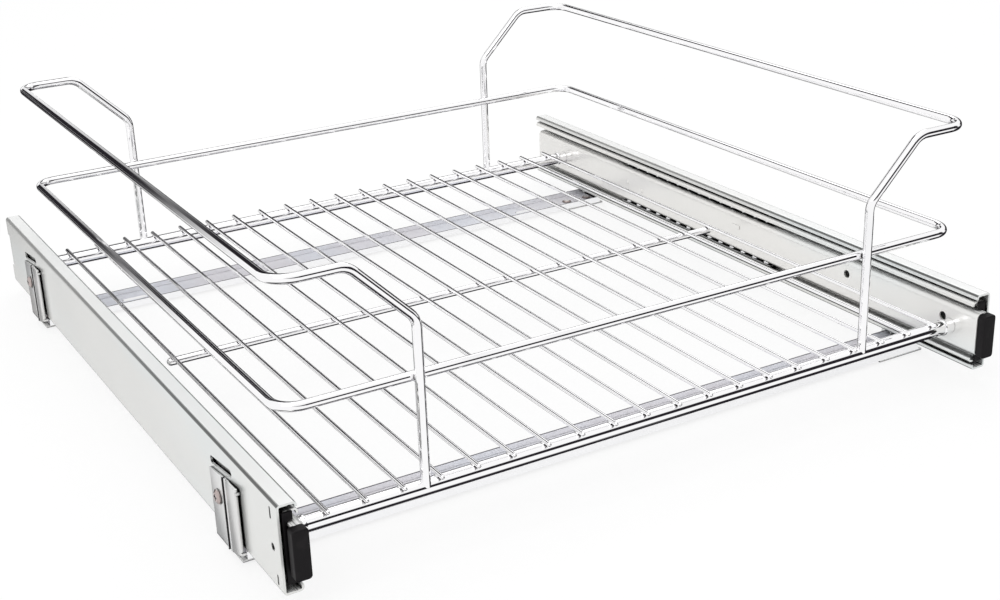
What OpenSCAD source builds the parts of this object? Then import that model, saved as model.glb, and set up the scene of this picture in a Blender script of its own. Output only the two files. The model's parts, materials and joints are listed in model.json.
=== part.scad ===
// Pull out cabinet basket on full extension ball bearing slides.
// X runs across the cabinet, Y runs from the front to the back, Z is up.
// The origin is on the cabinet floor, in the middle of the part's footprint.

/* [Unit] */
// Width across the outer faces of the two slides
unit_width = 515; // [380:1:800]
// Length of the slides' outer members, front to back
slide_length = 559; // [500:1:700]
// Height of the slides' undersides above the cabinet floor
slide_lift = 9.5; // [9.5:0.5:20]

/* [Slides] */
// Height of a slide's outer member
slide_height = 54.5; // [52:0.5:62]
// Depth of the outer member, from its web to its lips
outer_depth = 11.8; // [11.5:0.1:12.2]
// Depth of a whole slide, from outer face to inner face
slide_depth = 14.2; // [14:0.1:16]
// Sheet thickness of the outer member
outer_sheet = 1.4; // [1.2:0.1:1.6]
// Sheet thickness of the middle and inner members
inner_sheet = 1.2; // [1:0.1:1.4]
// Gap between the webs of the outer and middle members
web_gap = 1.6; // [1.5:0.1:2]
// Height between the flanges of the outer and middle members
outer_race = 3.8; // [3.6:0.1:4]
// Height between the flanges of the middle and inner members
inner_race = 5.6; // [5.4:0.1:5.8]
// Diameter of the balls between the outer and middle members
outer_ball_d = 4.2; // [4:0.1:4.4]
// Diameter of the balls between the middle and inner members
inner_ball_d = 6; // [5.8:0.1:6.2]
// Height of the outer member's lips
outer_lip = 3.4; // [3.2:0.1:4]
// Height of the middle member's lips
middle_lip = 3.4; // [3.2:0.1:3.8]
// Outside bend radius of the outer member
outer_bend = 2.4; // [2:0.1:3]
// Outside bend radius of the middle member
middle_bend = 2.5; // [2:0.1:2.8]
// Outside bend radius of the inner member
inner_bend = 4; // [2:0.1:5]
// Width of the inner member's flanges
inner_flange = 8.4; // [8:0.1:8.6]
// How far the middle member stops short of the outer member at each end
middle_inset = 2; // [1:0.5:5]
// How far the inner member stands out of the outer member in front
inner_nose = 3.5; // [0:0.5:5]
// How far the inner member stops short of the outer member behind
inner_tail = 9; // [5:0.5:20]
// Depth of the notch in the outer member's rear edge
rear_notch = 4; // [0:0.5:15]
// Height of the notch in the outer member's rear edge
rear_notch_h = 26; // [15:1:30]
// Distance that the basket pulls out
pull_travel = 540; // [400:1:546]

/* [Ball cages] */
// Balls in one row
ball_count = 14; // [8:1:16]
// Spacing of the balls in a row
ball_pitch = 14.5; // [8:0.5:15]
// Sheet thickness of the cages' webs
cage_web = 0.6; // [0.5:0.1:0.7]
// Sheet thickness of the cages' ball strips
cage_strip = 0.8; // [0.6:0.1:1]

/* [End caps] */
// How far the end caps stand out of the inner members
cap_nose = 6.5; // [4:0.5:12]
// How far the end caps' plugs reach into the inner members
cap_plug = 10; // [5:0.5:11]
// Width of an end cap
cap_width = 9.8; // [9:0.1:12]
// Corner radius of an end cap
cap_radius = 2; // [1:0.1:3]

/* [Basket] */
// Diameter of the front and rear bars
bar_d = 10; // [9:0.1:12]
// Height of the bars' axes above the slides' undersides
bar_rise = 27; // [24:0.1:30]
// Distance of the front bar's axis from the slides' front ends
front_bar_y = 20; // [18:0.5:30]
// Distance of the rear bar's axis from the slides' rear ends
rear_bar_setback = 52; // [30:1:100]
// Diameter of the middle bar
middle_bar_d = 5.6; // [4:0.1:7]
// How far the middle bar passes the outermost deck wires
middle_bar_end = 4; // [3:0.5:10]
// Diameter of the deck wires
deck_wire_d = 2.7; // [2:0.1:5]
// Number of deck wires
deck_wire_count = 20; // [12:1:24]
// Distance between the first and the last deck wire's axes
deck_span = 446.5; // [440:0.5:450]
// How far the deck wires pass the bars' axes at both ends
deck_overhang = 7; // [6:0.5:12]
// How far welded wires are sunk into each other
weld_sink = 0.2; // [0.1:0.05:0.4]

/* [Rails] */
// Diameter of the rail and hoop wire
rail_d = 5.8; // [5:0.1:8]
// Height of the middle rail's axis above the slides' undersides
middle_rail_rise = 95; // [78:1:115]
// Distance of the rails' sides from the slides' outer faces
rail_inset = 16; // [14:0.5:30]
// Height of the hoops' rails above the slides' undersides
hoop_rise = 169; // [150:1:220]
// How far the hoops step outwards and upwards above the posts
hoop_step = 38.5; // [26:0.5:46]
// Distance of the posts from the slides' outer faces
post_inset = 96; // [92:1:100]
// How far outside the bars' axes the posts stand
post_offset = 2; // [0:0.5:3]
// Height of the posts' feet above the bars' axes, before they are cut to the bars' shape
foot_rise = 1.5; // [1:0.1:2.5]
// Bend radius at the top of a post
post_bend = 12; // [8:1:16]
// Bend radius at a hoop's upper bend
step_bend = 14; // [8:1:16]
// Bend radius at the rails' corners
corner_bend = 14; // [8:1:16]

/* [Brackets and straps] */
// Distance of the front brackets' rear edges from the slides' front ends
front_bracket_y = 98; // [80:0.5:140]
// Distance of the rear brackets' rear edges from the slides' rear ends
rear_bracket_setback = 54; // [20:0.5:120]
// Sheet thickness of the brackets
bracket_sheet = 1.5; // [1.2:0.1:2]
// Height of the brackets' rear edges above the slides' undersides
bracket_rise = 36; // [30:0.5:37]
// Slope of the brackets' top edges and of the slots above them, up towards the front, in degrees
bracket_slope = 7.6; // [0:0.1:9]
// Width of the brackets' flat plates
bracket_plate = 22.5; // [20:0.5:30]
// How far the brackets' ribs stand out
rib_out = 2; // [1:0.1:4]
// Width of the brackets' ribs
rib_width = 22.5; // [17:0.5:24]
// Length of the ramp from a bracket's flat plate out to its rib
rib_ramp = 9; // [6:0.5:11]
// How far a rib's front edge ends above the cabinet floor
rib_lift = 8; // [0:0.5:9]
// Reach of the brackets' feet under the slides
foot_reach = 40; // [30:1:55]
// Distance of the straps' rear edges from the brackets' rear edges
strap_setback = 9.5; // [4:0.5:10]
// Width of the cross straps
strap_width = 30; // [26:1:34]
// Sheet thickness of the cross straps
strap_sheet = 1.2; // [1:0.1:1.5]
// Height of the cross straps' edges
strap_edge = 5; // [3:0.5:5.5]
// Gap between a strap's end and the bracket's plate
strap_end_gap = 2; // [0.5:0.5:5]
// Length of the straps' mounting slots
slot_length = 20; // [10:1:30]
// Width of the straps' mounting slots
slot_width = 5; // [4:0.5:6]
// Distance of the mounting slots' centres from the slides' outer faces
slot_inset = 74; // [60:1:100]

/* [Fasteners and holes] */
// Diameter of the screws that hold the brackets to the slides
bracket_screw_d = 4.8; // [4:0.1:6]
// Head diameter of all the screws
screw_head_d = 9; // [7:0.5:10]
// Head height of all the screws
screw_head_h = 2.4; // [1.5:0.1:2.5]
// Distance of a bracket's screw from its rear edge
screw_setback = 11.5; // [8:0.5:14]
// Height of a bracket's screw above the slide's underside
screw_rise = 20.5; // [10:0.5:25]
// Diameter of the screws that hold the bars
bar_screw_d = 5; // [4:0.1:6]
// Length of the bar screws inside the bars
bar_screw_depth = 14; // [8:1:20]
// Clearance of a screw in a drilled sheet
hole_gap = 0.15; // [0.1:0.01:0.3]
// Diameter of the rivets that hold the straps
rivet_d = 4; // [3:0.1:5]
// Head diameter of the rivets
rivet_head_d = 8; // [6:0.5:9]
// Head height of the rivets
rivet_head_h = 1.4; // [1:0.1:1.6]
// Diameter of the cabinet screw hole at each slide's front end
side_hole_d = 4.6; // [4:0.1:5]
// Diameter of the holes in the inner members' webs
web_hole_d = 6; // [4:0.1:7]
// Distance of the second web hole from the slides' front ends
web_hole_y = 122.5; // [60:0.5:200]
// Length of the slots above the brackets
bracket_slot_length = 34; // [20:1:40]
// Width of the slots above the brackets
bracket_slot_width = 5; // [3:0.5:6]
// Distance of the slots' centres from the brackets' rear edges
bracket_slot_setback = 16; // [8:0.5:20]
// Distance of the slots from the brackets' top edges
bracket_slot_gap = 0.5; // [0.5:0.1:2]

/* [Hidden] */
$fn = 48;
eps = 0.01;
fit_gap = 0.05;        // running clearance of a ball in its race
pocket_gap = 0.1;      // clearance of a ball in its cage pocket
plug_gap = 0.15;       // clearance of a cap's plug in the inner member
cage_gap = 0.35;       // clearance of the cages beside the webs and lips

// Places along the depth, counted from the slides' front ends
unit_front = inner_nose + cap_nose;
front_y = unit_front - (slide_length + unit_front) / 2;
rear_bar_y = slide_length - rear_bar_setback;
rear_bracket_y = slide_length - rear_bracket_setback;
bars_y = [front_bar_y, rear_bar_y];
posts_y = [front_bar_y - post_offset, rear_bar_y + post_offset];
brackets_y = [front_bracket_y, rear_bracket_y];
middle_bar_y = (front_bar_y + rear_bar_y) / 2;

// The slide's section, across from the outer face and up from the underside
middle_x = outer_sheet + web_gap;
middle_z = outer_sheet + outer_race;
middle_h = slide_height - 2 * middle_z;
middle_depth = slide_depth - 1.3 - middle_x;
inner_z = middle_z + inner_sheet + inner_race;
inner_h = slide_height - 2 * inner_z;
inner_x = slide_depth - inner_flange;
outer_ball_x = (middle_x + outer_depth) / 2 - 0.2;
outer_ball_z = outer_sheet + outer_race / 2;
inner_ball_x = middle_x + middle_depth / 2;
inner_ball_z = inner_z - inner_race / 2;
outer_cage_x = outer_sheet + (web_gap - cage_web) / 2;
inner_cage_x = middle_x + inner_sheet + cage_gap;
cage_length = ball_count * ball_pitch;
// the closed cages stand so that they are still on the inner members at full pull
cage_start = slide_length - inner_tail - pull_travel / 4 - cage_length;

// Heights above the slides' undersides
bracket_slot_z = bracket_rise + bracket_slot_setback * tan(bracket_slope)
    + (bracket_slot_gap + bracket_slot_width / 2) / cos(bracket_slope);
web_hole_z = slide_height / 2 + 4.5;
bar_top = bar_rise + bar_d / 2;
deck_z = bar_top + deck_wire_d / 2 - weld_sink;
middle_bar_z = bar_top - middle_bar_d / 2;
post_foot_z = bar_rise + foot_rise;

// The inner member's web carries the bars
bar_length = unit_width - 2 * slide_depth;
deck_half = deck_span / 2;
deck_pitch = deck_span / (deck_wire_count - 1);

// ---------- frames and plain shapes ----------

// Local frame of the left slide: x from its outer face, y from its front end, z from its underside
module on_left() {
    translate([-unit_width / 2, front_y, slide_lift])
        children();
}

// The same frame mirrored onto the right slide
module on_right() {
    mirror([1, 0, 0])
        on_left()
            children();
}

// Middle of the unit: x from the centre, y and z as on the slides
module on_middle() {
    translate([0, front_y, slide_lift])
        children();
}

// A section drawn across and up, run along the depth from y0 to y1
module run_back(y0, y1) {
    translate([0, y1, 0])
        rotate([90, 0, 0])
            linear_extrude(y1 - y0)
                children();
}

module rounded(w, h, r) {
    translate([r, 0])
        square([w - 2 * r, h]);
    translate([0, r])
        square([w, h - 2 * r]);
    for (x = [r, w - r], y = [r, h - r])
        translate([x, y])
            circle(r);
}

// A bent sheet, closed all round, that the members are cut from
module sheet_ring(w, h, t, r) {
    difference() {
        rounded(w, h, r);
        translate([t, t])
            rounded(w - 2 * t, h - 2 * t, r - t);
    }
}

// A channel that is open on its right, with lips at the opening
module lipped_channel(w, h, t, r, lip) {
    difference() {
        sheet_ring(w, h, t, r);
        translate([w - t - r, lip])
            square([t + r + eps, h - 2 * lip]);
    }
}

// A hole through a web, with its axis along x
module web_hole(x, y, z, d, t) {
    translate([x - t, y, z])
        rotate([0, 90, 0])
            cylinder(h = 3 * t, d = d);
}

// A slot through a web, along the depth or upright
module web_slot(x, y, z, length, height, t) {
    r = min(length, height) / 2;
    along = length > height;
    for (side = [-1, 1])
        web_hole(x, y + (along ? side * (length / 2 - r) : 0), z + (along ? 0 : side * (height / 2 - r)), 2 * r, t);
    translate([x - t, y - (along ? length / 2 - r : r), z - (along ? r : height / 2 - r)])
        cube([3 * t, along ? length - 2 * r : 2 * r, along ? 2 * r : height - 2 * r]);
}

// A slot through a web that rises towards the front by an angle
module sloped_slot(x, y, z, length, height, angle, t) {
    r = height / 2;
    translate([x - t, y, z])
        rotate([-angle, 0, 0])
            rotate([90, 0, 90])
                linear_extrude(3 * t) {
                    translate([r - length / 2, -r])
                        square([length - height, height]);
                    for (side = [-1, 1])
                        translate([side * (length / 2 - r), 0])
                            circle(r);
                }
}

// ---------- bent wire ----------

// The length that half of a 45 degree bend takes up on a straight run
function half_step(r) = r * tan(22.5);

// One bend: the wire comes along +z and turns towards +x.
// Its circle starts on the bend's inner side, in line with the start of the runs' circles.
module bend(angle, r, d) {
    translate([r, 0, 0])
        rotate([90, 0, 180])
            rotate_extrude(angle = angle)
                translate([r, 0])
                    rotate(180)
                        circle(d / 2);
}

// A wire as a chain of straight runs and bends that starts along +z.
// Each step is [run, roll before the bend, angle of the bend, radius of the bend].
module wire_chain(steps, d, i = 0) {
    cylinder(h = steps[i][0], d = d);
    if (i < len(steps) - 1)
        translate([0, 0, steps[i][0]])
            rotate([0, 0, steps[i][1]]) {
                bend(steps[i][2], steps[i][3], d);
                translate([steps[i][3], 0, 0])
                    rotate([0, steps[i][2], 0])
                        translate([-steps[i][3], 0, 0])
                            wire_chain(steps, d, i + 1);
            }
}

// A straight wire along the depth with round ends
module round_ended_wire(x, y0, y1, z, d) {
    translate([x, y0, z])
        rotate([-90, 0, 0])
            rotate_extrude()
                intersection() {
                    union() {
                        translate([0, d / 2])
                            square([d / 2, y1 - y0 - d]);
                        for (end = [d / 2, y1 - y0 - d / 2])
                            translate([0, end])
                                circle(d / 2);
                    }
                    square([d, y1 - y0]);
                }
}

// ---------- fasteners ----------

// A cross recess screw along +x, with its head's seat at x = 0 and its head towards -x
module cross_screw(d, length) {
    recess = screw_head_d * 0.5;
    difference() {
        union() {
            rotate([0, 90, 0])
                cylinder(h = length, d = d);
            rotate([0, -90, 0])
                cylinder(h = screw_head_h * 0.5, d = screw_head_d);
            translate([-screw_head_h * 0.5, 0, 0])
                rotate([0, -90, 0])
                    cylinder(h = screw_head_h * 0.5, d1 = screw_head_d, d2 = screw_head_d * 0.62, $fn = 48);
        }
        for (turn = [0, 90])
            rotate([turn, 0, 0])
                translate([-screw_head_h - eps, -recess / 2, -0.6])
                    cube([screw_head_h * 0.75, recess, 1.2]);
    }
}

// A rivet that stands on the floor, with its round head above the strap
module rivet() {
    stem = bracket_sheet + strap_sheet;
    cylinder(h = stem, d = rivet_d);
    translate([0, 0, stem])
        cylinder(h = rivet_head_h * 0.5, d = rivet_head_d);
    translate([0, 0, stem + rivet_head_h * 0.5])
        cylinder(h = rivet_head_h * 0.5, d1 = rivet_head_d, d2 = rivet_head_d * 0.6);
}

// ---------- slides ----------

// The grooves that the balls of one stage run in, above and below
module race_grooves(x, z, d) {
    for (level = [z, slide_height - z])
        translate([x, level])
            circle(d / 2 + fit_gap);
}

module outer_member() {
    color("lightgray")
        difference() {
            run_back(0, slide_length)
                difference() {
                    lipped_channel(outer_depth, slide_height, outer_sheet, outer_bend, outer_lip);
                    race_grooves(outer_ball_x, outer_ball_z, outer_ball_d);
                }
            // notch in the web's rear edge
            translate([-eps, slide_length - rear_notch, (slide_height - rear_notch_h) / 2])
                cube([outer_sheet + 2 * eps, rear_notch + eps, rear_notch_h]);
            // holes and slots near the front end
            web_hole(0, 9.6, slide_height / 2 - 1.5, side_hole_d, outer_sheet);
            web_slot(0, 9.6, slide_height - 8, 2, 7.4, outer_sheet);
            web_slot(0, 6.8, 6.8, 2, 6.4, outer_sheet);
            // above each bracket a long slot, and below it the screw's hole
            for (y = brackets_y) {
                sloped_slot(0, y - bracket_slot_setback, bracket_slot_z, bracket_slot_length, bracket_slot_width,
                    bracket_slope, outer_sheet);
                web_hole(0, y - screw_setback, screw_rise, bracket_screw_d + 2 * hole_gap, outer_sheet);
            }
        }
}

module middle_member() {
    color("silver")
        run_back(middle_inset, slide_length - middle_inset)
            difference() {
                translate([middle_x, middle_z])
                    lipped_channel(middle_depth, middle_h, inner_sheet, middle_bend, middle_lip);
                race_grooves(outer_ball_x, outer_ball_z, outer_ball_d);
                race_grooves(inner_ball_x, inner_ball_z, inner_ball_d);
            }
}

module inner_member() {
    tab_y = 247;
    color("gainsboro")
        difference() {
            union() {
                run_back(-inner_nose, slide_length - inner_tail)
                    difference() {
                        translate([inner_x - inner_bend, inner_z])
                            sheet_ring(inner_flange + inner_bend, inner_h, inner_sheet, inner_bend);
                        translate([inner_x - inner_bend - eps, inner_z - eps])
                            square([inner_bend + eps, inner_h + 2 * eps]);
                        race_grooves(inner_ball_x, inner_ball_z, inner_ball_d);
                    }
                // pressed dimples and a raised tab on the web's inner face
                for (p = [[382, slide_height / 2], [403, slide_height / 2 + 2]])
                    translate([slide_depth - 0.3, p[0], p[1]])
                        rotate([0, 90, 0])
                            cylinder(h = 0.9, d1 = 4.4, d2 = 2.4);
                translate([slide_depth - 0.3, tab_y, slide_height / 2 + 3])
                    cube([0.9, 9, 3]);
            }
            for (y = bars_y)
                web_hole(slide_depth - inner_sheet, y, bar_rise, bar_screw_d + 2 * hole_gap, inner_sheet);
            for (y = [front_bar_y + web_hole_d + 1, web_hole_y])
                web_hole(slide_depth - inner_sheet, y, web_hole_z, web_hole_d, inner_sheet);
        }
}

// A ball cage: two strips with round pockets, joined by a web
module ball_cage(x, reach, z, ball_x, ball_d, stage_color) {
    color(stage_color)
        difference() {
            run_back(cage_start, cage_start + cage_length) {
                translate([x, z - cage_strip / 2])
                    square([cage_web, slide_height - 2 * z + cage_strip]);
                for (level = [z, slide_height - z])
                    translate([x, level - cage_strip / 2])
                        square([reach, cage_strip]);
            }
            for (i = [0 : ball_count - 1], level = [z, slide_height - z])
                translate([ball_x, cage_start + (i + 0.5) * ball_pitch, level - cage_strip])
                    cylinder(h = 2 * cage_strip, d = ball_d + 2 * pocket_gap);
        }
}

module balls(ball_x, z, ball_d) {
    color("whitesmoke")
        for (i = [0 : ball_count - 1], level = [z, slide_height - z])
            translate([ball_x, cage_start + (i + 0.5) * ball_pitch, level])
                sphere(d = ball_d);
}

module outer_ball_cage() {
    ball_cage(outer_cage_x, outer_depth - outer_sheet - 0.4 - outer_cage_x, outer_ball_z,
        outer_ball_x, outer_ball_d, "darkgray");
}

module inner_ball_cage() {
    ball_cage(inner_cage_x, middle_x + middle_depth - inner_sheet - cage_gap - inner_cage_x,
        inner_ball_z, inner_ball_x, inner_ball_d, "darkgray");
}

module outer_balls() {
    balls(outer_ball_x, outer_ball_z, outer_ball_d);
}

module inner_balls() {
    balls(inner_ball_x, inner_ball_z, inner_ball_d);
}

module end_cap() {
    cap_x = slide_depth - 0.8 - cap_width;
    plug_h = inner_h - 2 * inner_sheet - 2 * plug_gap;
    plug_w = slide_depth - inner_sheet - plug_gap - inner_x;
    color([0.08, 0.08, 0.08]) {
        // head in front of the inner member
        run_back(-unit_front, -inner_nose)
            translate([cap_x, inner_z])
                rounded(cap_width, inner_h, cap_radius);
        // plug inside the inner member
        run_back(-inner_nose - eps, cap_plug)
            translate([inner_x, inner_z + inner_sheet + plug_gap])
                rounded(plug_w, plug_h, inner_bend - inner_sheet);
    }
}

// ---------- basket ----------

module cross_bar(y) {
    color("silver")
        on_middle()
            translate([-bar_length / 2, y, bar_rise])
                rotate([0, 90, 0])
                    difference() {
                        cylinder(h = bar_length, d = bar_d);
                        for (end = [-eps, bar_length - bar_screw_depth])
                            translate([0, 0, end])
                                cylinder(h = bar_screw_depth + eps, d = bar_screw_d + 2 * fit_gap);
                    }
}

module front_bar() {
    cross_bar(front_bar_y);
}

module rear_bar() {
    cross_bar(rear_bar_y);
}

module middle_bar() {
    reach = deck_half + middle_bar_end;
    color("silver")
        on_middle()
            translate([0, middle_bar_y, middle_bar_z])
                rotate([0, 0, -90])
                    round_ended_wire(0, -reach, reach, 0, middle_bar_d);
}

module deck_wires() {
    color("silver")
        on_middle()
            for (i = [0 : deck_wire_count - 1])
                round_ended_wire(-deck_half + i * deck_pitch, front_bar_y - deck_overhang,
                    rear_bar_y + deck_overhang, deck_z, deck_wire_d);
}

// A hoop: post, outward step, side rail, outward step and post, all of one wire
module hoop() {
    post_run = hoop_rise - hoop_step - post_foot_z - half_step(post_bend);
    step_run = hoop_step * sqrt(2) - half_step(post_bend) - half_step(step_bend);
    top_run = post_inset - hoop_step - rail_inset - half_step(step_bend) - corner_bend;
    side_run = posts_y[1] - posts_y[0] - 2 * corner_bend;
    color("silver")
        difference() {
            translate([post_inset, posts_y[0], post_foot_z])
                wire_chain([
                    [post_run, 180, 45, post_bend],
                    [step_run, 0, 45, step_bend],
                    [top_run, -90, 90, corner_bend],
                    [side_run, 0, 90, corner_bend],
                    [top_run, 90, 45, step_bend],
                    [step_run, 0, 45, post_bend],
                    [post_run]], rail_d);
            // the feet are cut to sit on the round bars
            for (y = bars_y)
                translate([post_inset - rail_d, y, bar_rise])
                    rotate([0, 90, 0])
                        cylinder(h = 2 * rail_d, d = bar_d - 2 * weld_sink);
        }
}

// A closed ring inside the posts, bent and joined in two mirrored halves
module middle_rail() {
    front = posts_y[0] + rail_d - weld_sink;
    rear = posts_y[1] - rail_d + weld_sink;
    half_run = unit_width / 2 - rail_inset - corner_bend;
    color("silver")
        on_middle()
            for (side = [0, 1])
                mirror([side, 0, 0])
                    translate([0, front, middle_rail_rise])
                        rotate([0, 90, 0])
                            wire_chain([
                                [half_run, 90, 90, corner_bend],
                                [rear - front - 2 * corner_bend, 0, 90, corner_bend],
                                [half_run]], rail_d);
}

module bar_screws() {
    color("gray")
        for (y = bars_y) {
            on_left()
                translate([slide_depth - inner_sheet, y, bar_rise])
                    cross_screw(bar_screw_d, inner_sheet + bar_screw_depth - 1);
            on_right()
                translate([slide_depth - inner_sheet, y, bar_rise])
                    cross_screw(bar_screw_d, inner_sheet + bar_screw_depth - 1);
        }
}

// ---------- brackets and straps ----------

// A sheet on the slide's outer face, bent out into a shallow upright rib in front, with a foot under
// the slide. y is its rear edge.
module bracket(y) {
    t = bracket_sheet;
    fold_y = y - bracket_plate;
    front = fold_y - rib_width;
    ramp_fold = t * tan(atan(rib_out / rib_ramp) / 2);
    edge_fold = t * tan(22.5);
    color("lightgray")
        difference() {
            union() {
                // plate and rib, seen from above
                translate([0, 0, -slide_lift])
                    linear_extrude(slide_lift + slide_height)
                        polygon([
                            [0, y], [-t, y], [-t, fold_y],
                            [-t - rib_out, fold_y - rib_ramp], [-t - rib_out, front + rib_out],
                            [-t, front], [0, front], [0, front + edge_fold],
                            [-rib_out, front + rib_out + edge_fold],
                            [-rib_out, fold_y - rib_ramp - ramp_fold], [0, fold_y - ramp_fold]]);
                // foot
                translate([-t, y - strap_setback - strap_width, -slide_lift])
                    cube([foot_reach, strap_width, t]);
            }
            // the rib's lower edge rises towards the front
            translate([-2 * (rib_out + t), 0, -slide_lift])
                rotate([90, 0, 90])
                    linear_extrude(2 * (rib_out + t) + eps)
                        polygon([[fold_y, -eps], [fold_y, 0], [front, rib_lift], [front - 1, rib_lift], [front - 1, -eps]]);
            // sloped top edge
            translate([-2 * (rib_out + t), y, bracket_rise])
                rotate([-bracket_slope, 0, 0])
                    translate([0, -2 * (bracket_plate + rib_width), 0])
                        cube([4 * (rib_out + t), 3 * (bracket_plate + rib_width), slide_height]);
            web_hole(-t, y - screw_setback, screw_rise, bracket_screw_d + 2 * hole_gap, t);
            for (x = rivets_x)
                translate([x, y - rivet_setback, -slide_lift - t])
                    cylinder(h = 3 * t, d = rivet_d + 2 * fit_gap);
        }
}

rivet_setback = strap_setback + strap_width / 2;
rivets_x = [foot_reach * 0.18, foot_reach * 0.72];

// A cross strap: a shallow channel on the feet of two brackets. y is the brackets' rear edge.
module strap(y) {
    half = unit_width / 2 - strap_end_gap;
    t = strap_sheet;
    front = y - strap_setback - strap_width;
    color("lightsteelblue")
        translate([0, front_y, bracket_sheet])
            difference() {
                translate([-half, front, 0])
                    cube([2 * half, strap_width, strap_edge]);
                translate([-half - eps, front + t, t])
                    cube([2 * half + 2 * eps, strap_width - 2 * t, strap_edge]);
                for (side = [-1, 1]) {
                    for (x = rivets_x)
                        translate([side * (unit_width / 2 - x), y - rivet_setback, -t])
                            cylinder(h = 3 * t, d = rivet_d + 2 * fit_gap);
                    for (end = [-1, 1])
                        translate([side * (unit_width / 2 - slot_inset) + end * (slot_length - slot_width) / 2,
                            y - rivet_setback, -t])
                            cylinder(h = 3 * t, d = slot_width);
                    translate([side * (unit_width / 2 - slot_inset) - (slot_length - slot_width) / 2,
                        y - rivet_setback - slot_width / 2, -t])
                        cube([slot_length - slot_width, slot_width, 3 * t]);
                }
            }
}

module front_strap() {
    strap(front_bracket_y);
}

module rear_strap() {
    strap(rear_bracket_y);
}

module bracket_screws() {
    color("gray")
        for (y = brackets_y) {
            on_left()
                translate([-bracket_sheet, y - screw_setback, screw_rise])
                    cross_screw(bracket_screw_d, bracket_sheet + outer_sheet);
            on_right()
                translate([-bracket_sheet, y - screw_setback, screw_rise])
                    cross_screw(bracket_screw_d, bracket_sheet + outer_sheet);
        }
}

module strap_rivets() {
    color("gray")
        for (y = brackets_y, x = rivets_x, side = [-1, 1])
            translate([side * (unit_width / 2 - x), front_y + y - rivet_setback, 0])
                rivet();
}

on_left() outer_member();  // left_outer_member
on_right() outer_member();  // right_outer_member
on_left() middle_member();  // left_middle_member
on_right() middle_member();  // right_middle_member
on_left() inner_member();  // left_inner_member
on_right() inner_member();  // right_inner_member
on_left() outer_ball_cage();  // left_outer_ball_cage
on_right() outer_ball_cage();  // right_outer_ball_cage
on_left() inner_ball_cage();  // left_inner_ball_cage
on_right() inner_ball_cage();  // right_inner_ball_cage
on_left() outer_balls();  // left_outer_balls
on_right() outer_balls();  // right_outer_balls
on_left() inner_balls();  // left_inner_balls
on_right() inner_balls();  // right_inner_balls
on_left() end_cap();  // left_end_cap
on_right() end_cap();  // right_end_cap
front_bar();
rear_bar();
middle_bar();
deck_wires();
on_left() hoop();  // left_hoop
on_right() hoop();  // right_hoop
middle_rail();
bar_screws();
front_strap();
rear_strap();
on_left() bracket(front_bracket_y);  // left_front_bracket
on_right() bracket(front_bracket_y);  // right_front_bracket
on_left() bracket(rear_bracket_y);  // left_rear_bracket
on_right() bracket(rear_bracket_y);  // right_rear_bracket
bracket_screws();
strap_rivets();
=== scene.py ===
import bpy
import bmesh
import json
import math
from mathutils import Matrix, Vector


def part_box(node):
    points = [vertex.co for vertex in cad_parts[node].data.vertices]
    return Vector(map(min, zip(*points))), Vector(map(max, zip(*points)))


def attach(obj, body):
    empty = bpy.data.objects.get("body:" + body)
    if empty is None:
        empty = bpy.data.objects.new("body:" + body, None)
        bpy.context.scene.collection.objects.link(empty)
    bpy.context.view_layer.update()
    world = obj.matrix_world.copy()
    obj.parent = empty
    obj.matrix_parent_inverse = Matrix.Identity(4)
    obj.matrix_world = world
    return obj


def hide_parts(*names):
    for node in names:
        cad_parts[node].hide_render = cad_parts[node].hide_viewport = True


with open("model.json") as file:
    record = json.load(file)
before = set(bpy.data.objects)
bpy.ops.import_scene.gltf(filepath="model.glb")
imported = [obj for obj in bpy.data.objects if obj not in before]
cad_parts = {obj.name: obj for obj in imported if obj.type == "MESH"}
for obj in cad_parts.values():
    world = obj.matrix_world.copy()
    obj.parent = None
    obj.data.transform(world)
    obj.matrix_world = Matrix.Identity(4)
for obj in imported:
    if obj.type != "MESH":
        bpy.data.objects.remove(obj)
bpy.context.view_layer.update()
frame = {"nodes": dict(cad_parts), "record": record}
NODES = frame["nodes"]
SLOT_OF = {p["node"]: p["material_slot"] for p in frame["record"]["subparts"]}


# ---------- measures ----------

MM = 0.001
SLIDE_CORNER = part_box("left_outer_member")[0]
HALF_WIDTH, FRONT_END, SLIDE_FOOT = -SLIDE_CORNER.x, SLIDE_CORNER.y, SLIDE_CORNER.z
HANDS = {"left": -1, "right": 1}
MAIN_BARS = ("front_bar", "rear_bar")

# Brackets, in millimetres.
BRACKETS_REAR = {"front": 98.0, "rear": 505.0}
BRACKET_RISE = 34.5
BRACKET_SLOPE = math.tan(math.radians(7.6))
BRACKET_BEVEL = 0.18
SHEET = 1.5
PLATE_LENGTH = 22.5
CUT_EDGE = 1.15
RAISED_LENGTH = 22.5
RAISED_LIFT = 8.0
RIDGE_OUT, RIDGE_BACK = 0.6, -2.0
RIDGE_HEIGHT, RIDGE_HALF_WIDTH = 1.4, 1.7
FOOT_CLEAR = 0.2
FOOT_REACH = (0.6 - SHEET, 38.5)
FOOT_FRONT, FOOT_REAR = 39.5, 9.5
HOOK_OUT = (-0.1, -SHEET - 1.9)
HOOK_BACK = (-0.6, 0.4)
HOOK_TALL, HOOK_DROP, HOOK_SETBACK = 1.5, 3.2, 3.0

# End caps and their plugs, in millimetres.
CAP_WIDTH, CAP_HEIGHT = (3.6, 13.4), (12.0, 42.5)
CAP_BACK, CAP_FACE = -3.5, -10.0
CAP_CORNER, CAP_EDGE, CAP_CHAMFER = 2.0, 0.9, 0.3
HOLLOW_DEPTH, HOLLOW_INSET, HOLLOW_CORNER = 0.12, 1.6, 1.4
PLUG_WIDTH, PLUG_HEIGHT = (5.8, 12.85), (13.35, 41.15)
PLUG_CORNER, PLUG_END = 2.8, 9.6

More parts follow.
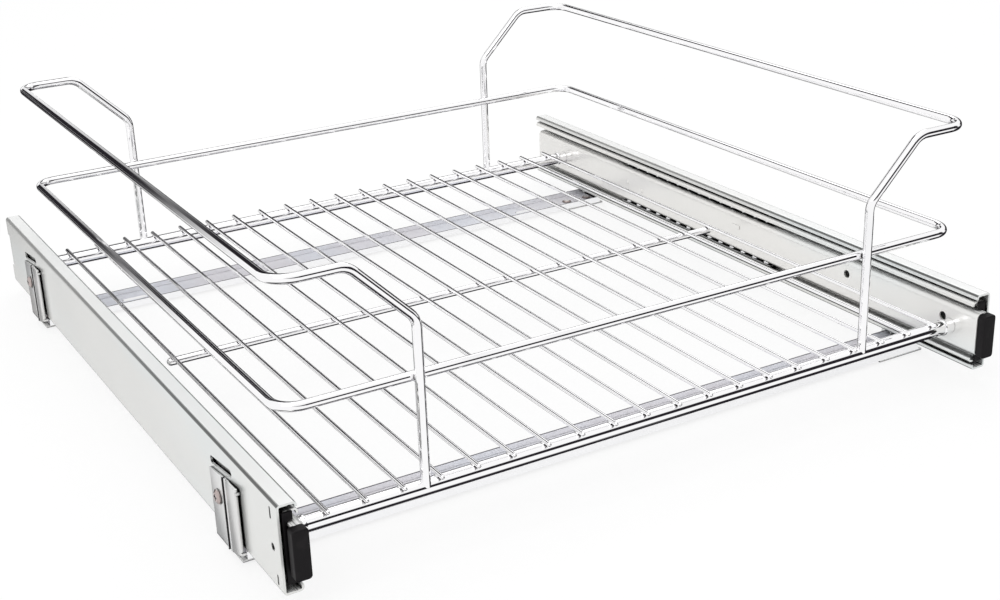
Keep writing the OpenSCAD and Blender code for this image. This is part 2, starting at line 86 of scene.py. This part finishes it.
# Black buffers that also stand in for the shade inside the slides' front ends, weld beads and collars, in
# millimetres.
BUFFER_SHADE_OUTSIDE, BUFFER_SHADE_WALL, BUFFER_SHADE_LIPS = 3.0, 5.2, 9.0
BUFFER_SHADE_ENDS = (2.0, 0.4)
BUFFER_SHADE_BEVEL = 0.25
BEAD_RADIUS, BEAD_HALF_LENGTH = 0.75, 2.1
BEAD_ASIDE, BEAD_RAISE = 1.15, 0.1
COLLAR_DISTANCE = 7.0
COLLAR_PROFILE = [(-1.6, -0.05), (-1.3, 0.45), (-0.7, 0.7), (0.7, 0.7), (1.3, 0.45), (1.6, -0.05)]

# How finely round forms are divided, and the turns in radians from which an edge is bevelled or sharp.
CORNER_STEPS, EDGE_STEPS, RIDGE_STEPS = 6, 5, 8
BEAD_RINGS, BEAD_SIDES, COLLAR_SIDES = 7, 10, 40
BEVEL_FROM, SMOOTH_UP_TO = 0.5, math.radians(35)

# Deck wires, and the places that the finishes need, in metres.
DECK_WIRES = 20
DECK_RADIUS = 1.35 * MM
DECK_LOW, DECK_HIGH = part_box("deck_wires")
FIRST_WIRE, LAST_WIRE = DECK_LOW.x + DECK_RADIUS, DECK_HIGH.x - DECK_RADIUS
WIRES_X = [FIRST_WIRE + i * (LAST_WIRE - FIRST_WIRE) / (DECK_WIRES - 1) for i in range(DECK_WIRES)]
STRAP_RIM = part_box("rear_strap")[1].z - 1.0 * MM
RIM_SOFTNESS = 0.2 * MM
# Where the cut edges at the brackets' folds get painted shade.
CUT_EDGES = [FRONT_END + (rear - PLATE_LENGTH + CUT_EDGE) * MM for rear in BRACKETS_REAR.values()]
CUT_BAND = 0.6 * MM


# ---------- nodes ----------

# The places of the Mix node's colour sockets, because its sockets share their names.
MIX_FACTOR, MIX_FIRST, MIX_SECOND, MIX_RESULT = 0, 6, 7, 2


class Socket:
    """An output of a finish's node that plain sums can be written with."""

    def __init__(self, finish, link):
        self.finish, self.link = finish, link

    def sum(self, operation, first, second):
        return self.finish.node("ShaderNodeMath", {"operation": operation}, [first, second])

    def __add__(self, other):
        return self.sum("ADD", self, other)

    __radd__ = __add__

    def __mul__(self, other):
        return self.sum("MULTIPLY", self, other)

    __rmul__ = __mul__

    def __sub__(self, other):
        return self.sum("SUBTRACT", self, other)

    def __rsub__(self, other):
        return self.sum("SUBTRACT", other, self)

    def above(self, level):
        return self.sum("GREATER_THAN", self, level)

    def below(self, level):
        return self.sum("LESS_THAN", self, level)

    def most(self, other):
        return self.sum("MAXIMUM", self, other)

    def least(self, other):
        return self.sum("MINIMUM", self, other)

    def between(self, low, high):
        """0 under low, 1 over high, and smooth in between."""
        return self.finish.node(
            "ShaderNodeMapRange",
            {"interpolation_type": "SMOOTHSTEP", "clamp": True},
            {"Value": self, "From Min": low, "From Max": high, "To Min": 0.0, "To Max": 1.0},
        )


class Finish:
    """A material, or the world, and the nodes that it is made of."""

    def __init__(self, name, world=False):
        if world:
            self.data = bpy.data.worlds.new(name)
            bpy.context.scene.world = self.data
        else:
            self.data = bpy.data.materials.new(name)
        self.data.use_nodes = True
        self.tree = self.data.node_tree
        self.tree.nodes.clear()
        self.out = self.tree.nodes.new("ShaderNodeOutputWorld" if world else "ShaderNodeOutputMaterial")

    def plug(self, socket, value):
        if isinstance(value, Socket):
            self.tree.links.new(value.link, socket)
        elif isinstance(value, (tuple, list)) and len(value) == 3 and socket.type == "RGBA":
            socket.default_value = (*value, 1.0)
        else:
            socket.default_value = value

    def node(self, kind, settings=None, inputs=None, output=0):
        """Makes a node from its type, its settings and what goes into its sockets."""
        made = self.tree.nodes.new(kind)
        for key, value in (settings or {}).items():
            setattr(made, key, value)
        pairs = inputs.items() if isinstance(inputs, dict) else enumerate(inputs or [])
        for key, value in pairs:
            self.plug(made.inputs[key], value)
        return Socket(self, made.outputs[output])

    def end(self, shader):
        """Leads the last shader to the output."""
        self.plug(self.out.inputs["Surface"], shader)
        return self.data

    def part(self, vector, axis):
        return self.node("ShaderNodeSeparateXYZ", None, [vector], output=axis)

    def place(self):
        """The point's place on the part, in metres."""
        return self.node("ShaderNodeTexCoord", output="Object")

    def facing(self, axis):
        """How far a surface faces along an axis, from -1 to 1."""
        return self.part(self.node("ShaderNodeNewGeometry", output="Normal"), axis)

    def ray(self, kind):
        """1 for the rays of one kind, and 0 for the others."""
        return self.node("ShaderNodeLightPath", output=f"Is {kind} Ray")

    def openness(self, reach):
        """1 where nothing stands within the reach of a surface, and 0 deep inside a narrow gap."""
        return self.node("ShaderNodeAmbientOcclusion", {"samples": 8}, {"Distance": reach}, output="AO")

    def noise(self, scale, detail, rough=0.5, drawn=(1.0, 1.0, 1.0)):
        """Noise from 0 to 1 over the part, drawn out along the directions that have a small factor."""
        spread = self.node("ShaderNodeVectorMath", {"operation": "MULTIPLY"}, [self.place(), drawn])
        return self.node(
            "ShaderNodeTexNoise",
            None,
            {"Vector": spread, "Scale": scale, "Detail": detail, "Roughness": rough},
            output="Fac",
        )

    def blend(self, amount, first, second):
        """A colour between two colours."""
        return self.node(
            "ShaderNodeMix",
            {"data_type": "RGBA"},
            {MIX_FACTOR: amount, MIX_FIRST: first, MIX_SECOND: second},
            output=MIX_RESULT,
        )

    def bump(self, height, distance, strength):
        return self.node(
            "ShaderNodeBump",
            None,
            {"Height": height, "Distance": distance, "Strength": strength},
            output="Normal",
        )

    def surface(self, **sockets):
        """Ends the material in one Principled shader; names use _ for the spaces in its socket names."""
        named = {key.replace("_", " "): value for key, value in sockets.items()}
        return self.end(self.node("ShaderNodeBsdfPrincipled", None, named))


# ---------- finishes ----------

# The last colour here is painted shade at joints, together with dark weld seams.
CHROME, DULL_CHROME, WELD_SEAM_AND_SHADE = (0.96, 0.955, 0.965), (0.9, 0.9, 0.91), (0.06, 0.05, 0.05)
# Painted shade in narrow gaps and recesses, together with track grease.
GREASE_AND_SHADE = (0.012, 0.013, 0.013)
# Painted light on level faces.
PAINTED_LEVEL_LIGHT = (0.93, 0.935, 0.93)
# Painted light on upright walls.
PAINTED_WALL_LIGHT = (0.97, 0.97, 0.98)
DARK_RIM = (0.1, 0.095, 0.11)
# Painted shade, together with raw steel, on cut edges.
RAW_EDGE_SHADE = (0.03, 0.028, 0.03)
BLACK, RUBBED_BLACK = (0.005, 0.004, 0.005), (0.011, 0.009, 0.01)
BRIGHT_BALL, SPOTTED_BALL = (0.86, 0.86, 0.87), (0.8, 0.8, 0.81)


def chrome_wire():
    """Bright chrome over drawn wire: a mirror with a faint ripple, duller patches, and dark weld seams with
    painted shade where wires meet other parts.
    """
    f = Finish("chrome wire")
    # Painted shade: within 2.2 mm of another part the chrome goes dark, for the shade at joints as well as
    # weld seams.
    seam_and_shade = 1 - f.openness(2.2 * MM).between(0.3, 0.62)
    ripple = f.noise(scale=40.0, detail=1.0)
    haze = f.noise(scale=260.0, detail=4.0, rough=0.6)
    dull = f.noise(scale=18.0, detail=2.0).between(0.52, 0.75)
    return f.surface(
        Base_Color=f.blend(seam_and_shade, f.blend(dull, CHROME, DULL_CHROME), WELD_SEAM_AND_SHADE),
        Metallic=1.0,
        Roughness=0.025 + haze * 0.03 + dull * 0.02 + seam_and_shade * 0.3,
        Normal=f.bump(ripple, distance=0.03 * MM, strength=0.2),
    )


def painted_fold_shade(f, shade, level, tone, fold):
    """Paints shade on the rounded folds between walls and level faces, for the dark reflections there, most
    at the front end.
    """
    shaded_fold = level.between(0.3, 0.55) * (1 - level.between(0.85, 0.97))
    backwards = f.part(f.place(), "Y").between(-0.2, 0.2)
    return f.blend(shaded_fold * fold * (1 - backwards * 0.45), shade, tuple(c * 0.12 for c in tone))


def raw_edge_shade(f, shade, cuts):
    """Darkens the cut edges that face the front: raw steel, with painted shade on the step; the cuts are
    their places along the slide.
    """
    ahead = f.facing("Y") * -1
    along = f.part(f.place(), "Y")
    # Painted shade: front-facing faces at each cut go nearly black.
    for y in cuts:
        raw_and_shaded = ahead.above(0.9) * along.above(y - CUT_BAND) * along.below(y + CUT_BAND)
        shade = f.blend(raw_and_shaded, shade, RAW_EDGE_SHADE)
    return shade


def zinc_sheet(
    name,
    tone,
    drawn=(1.0, 0.02, 1.0),
    rough=0.24,
    metal=0.5,
    gap=7.0 * MM,
    open_from=(0.3, 0.62),
    fold=0.0,
    walls=None,
    rim=None,
    cuts=(),
):
    """Bright zinc over rolled sheet: faint rolling lines, soft clouds, and grease with painted shade in
    narrow gaps.

    drawn: how the rolling lines are stretched, with a small factor along the rolling direction.
    gap, open_from: grease and painted shade lie where faces stand within the gap, and thin out over this
    openness.
    fold: how dark the painted shade on the rounded folds is, on a sheet whose level faces get painted
    light.
    walls, rim: on other sheets, the pale colour painted on upright walls for the light on them, and
    the height above which level faces are a dark rim.
    cuts: the places along the slide of raw edges that face the front, painted dark as raw steel and shade.
    """
    f = Finish(name)
    lines = f.noise(scale=1400.0, detail=3.0, rough=0.6, drawn=drawn)
    cloud = f.noise(scale=22.0, detail=4.0, rough=0.55, drawn=(1.0, 0.4, 1.0))
    cast = f.noise(scale=14.0, detail=2.0, drawn=(1.0, 0.25, 1.0)).between(0.4, 0.6)
    cool = (tone[0] * 0.97, tone[1], tone[2] * 1.02)
    warm = (tone[0], tone[1] * 0.985, tone[2] * 0.98)
    worn = tuple(c * 0.92 for c in tone)
    shade = f.blend(cloud.between(0.3, 0.75) * 0.35 + lines * 0.1, f.blend(cast, cool, warm), worn)
    upwards = f.facing("Z")
    level = upwards.most(upwards * -1)
    if walls:
        # Painted light: upright walls are made pale and more of a mirror, for the light falling on them.
        upright = 1 - level.between(0.5, 0.9)
        shade = f.blend(upright, shade, walls)
        metal = metal + upright * (0.9 - metal)
        over_rim = f.part(f.place(), "Z").between(rim - RIM_SOFTNESS, rim + RIM_SOFTNESS)
        shade = f.blend(over_rim * (1 - upright), shade, DARK_RIM)
    else:
        # Painted shade on the rounded folds.
        if fold:
            shade = painted_fold_shade(f, shade, level, tone, fold)
        # Painted light: level faces are made paler and less of a mirror, as if more light falls on them.
        lit_level = level.between(0.97, 0.99) * 0.8
        shade = f.blend(lit_level, shade, PAINTED_LEVEL_LIGHT)
        metal = metal * (1 - lit_level)
    if cuts:
        shade = raw_edge_shade(f, shade, cuts)
    return f.surface(
        # Painted shade: faces near other faces go dark, for the shade in gaps and recesses as well as
        # grease.
        Base_Color=f.blend(f.openness(gap).between(*open_from), GREASE_AND_SHADE, shade),
        Metallic=metal,
        Roughness=rough + (lines - 0.5) * 0.04 + (cloud - 0.5) * 0.06,
        Normal=f.bump(lines, distance=0.004 * MM, strength=0.2),
    )


def moulded_black():
    """Matt black moulded plastic with a fine spark grain and slightly paler rubbed patches."""
    f = Finish("moulded black")
    grain = f.noise(scale=3200.0, detail=2.0)
    rub = f.noise(scale=90.0, detail=4.0, rough=0.6).between(0.55, 0.8)
    return f.surface(
        Base_Color=f.blend(rub, BLACK, RUBBED_BLACK),
        Roughness=0.4 + grain * 0.12 - rub * 0.06,
        Specular_IOR_Level=0.18,
        Normal=f.bump(grain, distance=0.03 * MM, strength=0.4),
    )


def polished_balls():
    """Hardened balls, polished bright, with slightly duller spots."""
    f = Finish("polished balls")
    spots = f.noise(scale=700.0, detail=2.0)
    return f.surface(
        Base_Color=f.blend(spots, BRIGHT_BALL, SPOTTED_BALL),
        Metallic=1.0,
        Roughness=0.08 + spots * 0.05,
    )


FINISHES = {
    "chrome_wire": chrome_wire(),
    "zinc_steel": zinc_sheet("zinc slide sheet", (0.85, 0.85, 0.83)),
    "outer_sheet": zinc_sheet("zinc outer sheet", (0.77, 0.78, 0.765), fold=0.95),
    "bracket_steel": zinc_sheet(
        "zinc bracket sheet",
        (0.74, 0.74, 0.735),
        drawn=(1.0, 1.0, 0.05),
        rough=0.26,
        gap=3.5 * MM,
        open_from=(0.5, 0.85),
        cuts=CUT_EDGES,
    ),
    "strap_steel": zinc_sheet(
        "zinc strap sheet",
        (0.8, 0.795, 0.84),
        drawn=(0.02, 1.0, 1.0),
        rough=0.3,
        metal=0.1,
        gap=1.5 * MM,
        walls=PAINTED_WALL_LIGHT,
        rim=STRAP_RIM,
    ),
    "cage_steel": zinc_sheet("cage sheet", (0.6, 0.61, 0.61), drawn=(1.0, 0.05, 1.0), rough=0.34),
    "fastener_steel": zinc_sheet(
        "fastener steel",
        (0.5, 0.42, 0.4),
        drawn=(1.0, 1.0, 1.0),
        rough=0.18,
        metal=0.8,
        gap=2.0 * MM,
        open_from=(0.5, 0.85),
    ),
    "black_plastic": moulded_black(),
    "ball_steel": polished_balls(),
}


def dress(piece, finish):
    """Gives a CAD piece its finish."""
    piece.data.materials.clear()
    piece.data.materials.append(FINISHES[finish])


for name, piece in NODES.items():
    if name.endswith("_strap"):
        dress(piece, "strap_steel")
    elif name.endswith("_outer_member"):
        dress(piece, "outer_sheet")
    else:
        dress(piece, SLOT_OF[name])


# ---------- pieces of formed sheet, moulding and weld ----------


def on_slide(side, x, y, z):
    """A point in millimetres from a slide's outer face, front end and underside; side is -1 on the left."""
    return Vector((side * (HALF_WIDTH - x * MM), FRONT_END + y * MM, SLIDE_FOOT + z * MM))


def keep(mesh, name, slot, body, *replaced, bevel=0.0):
    """Turns a bmesh into a piece with its finish, slot and body; the bevel is in millimetres."""
    bmesh.ops.recalc_face_normals(mesh, faces=mesh.faces)
    if bevel:
        sharp = [e for e in mesh.edges if len(e.link_faces) == 2 and e.calc_face_angle() > BEVEL_FROM]
        bmesh.ops.bevel(mesh, geom=sharp, offset=bevel * MM, segments=2, profile=0.6, affect="EDGES")
    data = bpy.data.meshes.new(name)
    mesh.to_mesh(data)
    mesh.free()
    piece = bpy.data.objects.new(name, data)
    bpy.context.scene.collection.objects.link(piece)
    data.materials.append(FINISHES[slot])
    for face in data.polygons:
        face.use_smooth = True
    data.set_sharp_from_angle(angle=SMOOTH_UP_TO)
    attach(piece, body)
    if replaced:
        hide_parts(*replaced)
    return piece


def loft(mesh, rings):
    """Skins closed rings of points and closes both ends."""
    layers = [[mesh.verts.new(point) for point in ring] for ring in rings]
    for low, high in zip(layers, layers[1:]):
        for i in range(len(low)):
            j = (i + 1) % len(low)
            mesh.faces.new((low[i], low[j], high[j], high[i]))
    mesh.faces.new(layers[0])
    mesh.faces.new(layers[-1])


def run_along(mesh, side, outline, ends):
    """One upright outline run along the slide between two ends."""
    loft(mesh, [[on_slide(side, x, y, z) for x, z in outline] for y in ends])


def slab(mesh, side, across, along, levels):
    """A flat block between two levels."""
    (x0, x1), (y0, y1) = across, along
    corners = [(x0, y0), (x1, y0), (x1, y1), (x0, y1)]
    loft(mesh, [[on_slide(side, x, y, z) for x, y in corners] for z in levels])


def rounded_outline(across, upright, radius, inset=0.0):
    """The points of a rectangle with round corners, in order."""
    x0, x1 = across[0] + inset + radius, across[1] - inset - radius
    z0, z1 = upright[0] + inset + radius, upright[1] - inset - radius
    points = []
    for corner, (x, z) in enumerate([(x1, z1), (x0, z1), (x0, z0), (x1, z0)]):
        for i in range(CORNER_STEPS + 1):
            angle = math.radians(90 * corner + 90 * i / CORNER_STEPS)
            points.append((x + radius * math.cos(angle), z + radius * math.sin(angle)))
    return points


def end_cap(side, name):
    """A moulded cap: a head with round edges and a slightly hollow face, and a plug in the inner member."""
    mesh = bmesh.new()

    def ring(y, inset, radius):
        outline = rounded_outline(CAP_WIDTH, CAP_HEIGHT, radius, inset)
        return [on_slide(side, x, y, z) for x, z in outline]

    rings = [
        ring(CAP_BACK, CAP_CHAMFER, CAP_CORNER - CAP_CHAMFER),
        ring(CAP_BACK - CAP_CHAMFER, 0.0, CAP_CORNER),
        ring(CAP_FACE + CAP_EDGE, 0.0, CAP_CORNER),
    ]
    for i in range(1, EDGE_STEPS + 1):
        turn = math.radians(90 * i / EDGE_STEPS)
        y = CAP_FACE + CAP_EDGE * (1 - math.sin(turn))
        rings.append(ring(y, CAP_EDGE * (1 - math.cos(turn)), CAP_CORNER))
    rings.append(ring(CAP_FACE + HOLLOW_DEPTH, HOLLOW_INSET, HOLLOW_CORNER))
    loft(mesh, rings)
    plug = rounded_outline(PLUG_WIDTH, PLUG_HEIGHT, PLUG_CORNER)
    run_along(mesh, side, plug, (CAP_BACK, PLUG_END))
    return keep(mesh, name, "black_plastic", "basket", name.replace("_moulding", ""))


def front_buffer_shade(side, name, body):
    """A C-shaped black rubber buffer on the front end of a middle member, open where the inner member
    passes; its black also stands in for the shade inside the slide's front end.
    """
    mesh = bmesh.new()
    lower_lip = [(BUFFER_SHADE_OUTSIDE, 5.6), (BUFFER_SHADE_LIPS, 5.6), (BUFFER_SHADE_LIPS, 10.6)]
    wall = [(BUFFER_SHADE_WALL, 11.4), (BUFFER_SHADE_WALL, 43.1)]
    upper_lip = [(BUFFER_SHADE_LIPS, 43.9), (BUFFER_SHADE_LIPS, 48.9), (BUFFER_SHADE_OUTSIDE, 48.9)]
    # A black piece put in the slide's front end, partly a buffer and partly standing in for the shade
    # there.
    run_along(mesh, side, lower_lip + wall + upper_lip, BUFFER_SHADE_ENDS)
    return keep(mesh, name, "black_plastic", body, bevel=BUFFER_SHADE_BEVEL)


def bracket_section():
    """A bracket seen from above: how far each point stands off the slide's face, and behind the fold."""
    plate = [(SHEET, PLATE_LENGTH), (SHEET, 4.2), (SHEET, 3.4)]
    flare = [(2.3, 1.8), (2.3, 1.2)]
    step = [(0.3, 1.1), (0.3, -0.2)]
    ridge = []
    for i in range(RIDGE_STEPS + 1):
        turn = math.pi * i / RIDGE_STEPS
        out = RIDGE_OUT + RIDGE_HEIGHT * math.sin(turn)
        ridge.append((out, RIDGE_BACK + RIDGE_HALF_WIDTH * math.cos(turn)))
    raised = [(2.3, -5.2), (2.7, -6.2), (3.3, 3.0 - RAISED_LENGTH), (3.3, 0.6 - RAISED_LENGTH)]
    open_edge = [(2.8, -RAISED_LENGTH), (1.6, 0.2 - RAISED_LENGTH)]
    hollow = [(1.8, 3.0 - RAISED_LENGTH), (0.7, -6.4), (0.6, -4.8)]
    back = [(0.0, -1.0), (0.0, 2.2), (0.0, PLATE_LENGTH)]
    return plate + flare + step + ridge + raised + open_edge + hollow + back


def bracket(side, name, rear):
    """A stamped bracket: plate with a stepped, raw cut edge, round ridge, and raised face open in front.

    A foot reaches in under the slide, and a hook folds in at each end of the open edge.
    """
    mesh = bmesh.new()
    under = FOOT_CLEAR - SLIDE_FOOT / MM
    fold = rear - PLATE_LENGTH
    front = fold - RAISED_LENGTH
    low_ring, high_ring = [], []
    for out, back in bracket_section():
        lift = RAISED_LIFT * max(0.0, -back / RAISED_LENGTH)
        top = BRACKET_RISE + (PLATE_LENGTH - back) * BRACKET_SLOPE
        low_ring.append(on_slide(side, -out, fold + back, under + lift))
        high_ring.append(on_slide(side, -out, fold + back, top))
    loft(mesh, [low_ring, high_ring])
    slab(mesh, side, FOOT_REACH, (rear - FOOT_FRONT, rear - FOOT_REAR), (under, under + SHEET))
    upper_hook = BRACKET_RISE + (rear - front - HOOK_SETBACK) * BRACKET_SLOPE - HOOK_DROP
    for z in (under + RAISED_LIFT, upper_hook):
        slab(mesh, side, HOOK_OUT, [front + back for back in HOOK_BACK], (z, z + HOOK_TALL))
    return keep(mesh, name + "_stamping", "bracket_steel", "frame", name, bevel=BRACKET_BEVEL)


def circle(sides):
    """The points of a circle of radius 1, in order."""
    turns = [math.tau * k / sides for k in range(sides)]
    return [(math.cos(turn), math.sin(turn)) for turn in turns]


def weld_beads(name, bar, wires_x):
    """The two small beads of weld beside each deck wire, where it lies on a bar."""
    mesh = bmesh.new()
    low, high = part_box(bar)
    for x in wires_x:
        for aside in (-BEAD_ASIDE, BEAD_ASIDE):
            centre = Vector((x + aside * MM, (low.y + high.y) / 2, high.z + BEAD_RAISE * MM))
            rings = []
            for i in range(BEAD_RINGS):
                swing = math.pi * (i + 0.5) / BEAD_RINGS
                radius = BEAD_RADIUS * MM * math.sin(swing)
                y = -BEAD_HALF_LENGTH * MM * math.cos(swing)
                rings.append([centre + Vector((radius * c, y, radius * s)) for c, s in circle(BEAD_SIDES)])
            loft(mesh, rings)
    return keep(mesh, name, "chrome_wire", "basket")


def bar_collar(name, bar, side):
    """A pressed collar near the end of a bar."""
    mesh = bmesh.new()
    low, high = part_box(bar)
    x = side * (high.x - COLLAR_DISTANCE * MM)
    y, z, bar_radius = (low.y + high.y) / 2, (low.z + high.z) / 2, (high.z - low.z) / 2
    rings = []
    for along, out in COLLAR_PROFILE:
        r = bar_radius + out * MM
        rings.append([Vector((x + along * MM, y + r * c, z + r * s)) for c, s in circle(COLLAR_SIDES)])
    loft(mesh, rings)
    return keep(mesh, name, "chrome_wire", "basket")


for hand, side in HANDS.items():
    end_cap(side, hand + "_end_cap_moulding")
    front_buffer_shade(side, hand + "_front_bumper", hand + "_middle")
    for end, rear in BRACKETS_REAR.items():
        bracket(side, f"{hand}_{end}_bracket", rear)
    for bar in MAIN_BARS:
        bar_collar(f"{hand}_{bar}_collar", bar, side)
for bar in MAIN_BARS:
    weld_beads(bar + "_weld_beads", bar, WIRES_X)


# ---------- floor and room ----------

FLOOR_SIZE, FLOOR_DROP = 14.0, 0.4 * MM
WHITE, FLOOR_PAINT, ROOM_LIGHT = (1.0, 1.0, 1.0), (0.92, 0.92, 0.92), (0.86, 0.86, 0.86)
ROOM_DARK = (0.02, 0.018, 0.022)
FLOOR_GLOW = 0.8
PATCH_SOFTNESS = 0.04


def pale_floor():
    """A plain white floor that keeps a faint shadow of the part."""
    f = Finish("white floor")
    seen = f.ray("Camera").most(f.ray("Glossy")).most(f.ray("Transmission"))
    paint = f.node("ShaderNodeBsdfDiffuse", None, {"Color": FLOOR_PAINT})
    glow = f.node("ShaderNodeEmission", None, {"Color": WHITE, "Strength": 1.0})
    return f.end(f.node("ShaderNodeMixShader", None, [seen * FLOOR_GLOW, paint, glow]))


bpy.ops.mesh.primitive_plane_add(size=FLOOR_SIZE, location=(0.0, 0.0, -FLOOR_DROP))
floor = bpy.context.object
floor.name = "studio_floor"
floor.data.materials.append(pale_floor())
floor.visible_glossy = False


def patch(value, low, high):
    """1 between two levels of a value, with soft edges."""
    rise = value.between(low - PATCH_SOFTNESS, low + PATCH_SOFTNESS)
    return rise * (1 - value.between(high - PATCH_SOFTNESS, high + PATCH_SOFTNESS))


def studio_world():
    """White studio walls with dark patches low in the room, which only mirrors show.

    A direction from the part is given as across (to the right), back and height, each from -1 to 1.
    """
    f = Finish("studio", world=True)
    way = f.node("ShaderNodeTexCoord", output="Generated")
    across, back, height = (f.part(way, axis) for axis in "XYZ")
    mirror = f.ray("Glossy")

    # A doorway straight behind, up to a slanted jamb on its right, and the dark floor in front of it.
    jamb = across - ((height - 0.36) * 2.2).most(-0.36)
    doorway = patch(height, 0.0, 0.42) * (1 - jamb.between(0.08, 0.16))
    doorway = back.between(0.88, 0.92) * doorway.most(patch(height, -0.3, 0.0))

    # A curtain behind, between two slanted edges, which draws the dark lines along the deck wires.
    near_edge = across + ((back - 0.64) * 5.0).least(0.28)
    far_edge = across + (back - 0.8) * 0.7
    curtain = patch(back, 0.52, 0.93) * patch(height, 0.14, 0.8)
    curtain = curtain * near_edge.between(-0.04, 0.04) * (1 - far_edge.between(0.4, 0.48))

    # A skirting low on the right, and dark floor behind, beside and under the part.
    skirting = back.between(-0.1, 0.1) * across.between(0.3, 0.42) * (1 - height.between(0.2, 0.26))
    below = 1 - height.between(-0.1, -0.02)
    back_floor = below * back.between(0.6, 0.8) * across.between(-0.2, -0.1)
    side_floor = below * across.between(0.4, 0.55) * back.between(-0.5, -0.4)
    underfoot = 1 - height.between(-0.86, -0.72)

    # A table in front, with a slanted lower edge.
    table = (back * -1).between(0.3, 0.45) * (height + across * 0.5).between(0.16, 0.24)
    table = table * (1 - height.between(0.44, 0.5))

    dark = doorway
    for thing in (curtain, skirting, back_floor, side_floor, underfoot, table):
        dark = dark.most(thing)
    seen = f.ray("Camera").most(mirror).most(f.ray("Transmission"))
    shade = f.blend(dark * mirror, f.blend(seen, ROOM_LIGHT, WHITE), ROOM_DARK)
    f.end(f.node("ShaderNodeBackground", None, {"Color": shade, "Strength": 1.0}))


studio_world()


# ---------- lamps and camera ----------

SENSOR_WIDTH = 36.0


def softbox(name, place, target, size, power):
    """A rectangular lamp that faces its target; the size is its width and height in metres."""
    lamp = bpy.data.lights.new(name, "AREA")
    lamp.shape, lamp.energy = "RECTANGLE", power
    lamp.size, lamp.size_y = size
    held = bpy.data.objects.new(name, lamp)
    bpy.context.scene.collection.objects.link(held)
    held.location = place
    held.rotation_euler = (Vector(target) - Vector(place)).to_track_quat("-Z", "Y").to_euler()


softbox("key_softbox", place=(-1.4, -1.0, 1.9), target=(0.0, 0.0, 0.05), size=(1.2, 1.0), power=9.0)
softbox("rear_softbox", place=(1.2, 1.6, 1.7), target=(0.0, 0.0, 0.05), size=(1.4, 0.8), power=6.0)
softbox("top_softbox", place=(0.0, 0.1, 2.2), target=(0.0, 0.0, 0.0), size=(1.6, 1.6), power=8.0)


def set_camera(place, yaw, pitch, roll, focal):
    """Yaw turns from +Y towards +X, pitch lifts, roll tips; focal is in picture widths."""
    y, p, r = (math.radians(a) for a in (yaw, pitch, roll))
    ahead = Vector((math.sin(y) * math.cos(p), math.cos(y) * math.cos(p), math.sin(p)))
    right = Vector((math.cos(y), -math.sin(y), 0.0))
    up = right.cross(ahead)
    side = math.cos(r) * right + math.sin(r) * up
    top = -math.sin(r) * right + math.cos(r) * up
    lens = bpy.data.cameras.new("shop_camera")
    lens.sensor_fit, lens.sensor_width, lens.lens = "HORIZONTAL", SENSOR_WIDTH, SENSOR_WIDTH * focal
    lens.clip_start, lens.clip_end = 0.02, 60.0
    held = bpy.data.objects.new("shop_camera", lens)
    bpy.context.scene.collection.objects.link(held)
    turn = Matrix((side, top, -ahead)).transposed()
    held.matrix_world = Matrix.Translation(place) @ turn.to_4x4()
    bpy.context.scene.camera = held


set_camera(place=(-0.5005, -0.9420, 0.4593), yaw=29.69, pitch=-22.13, roll=-2.03, focal=1.5463)
bpy.context.scene.view_settings.view_transform = "Standard"
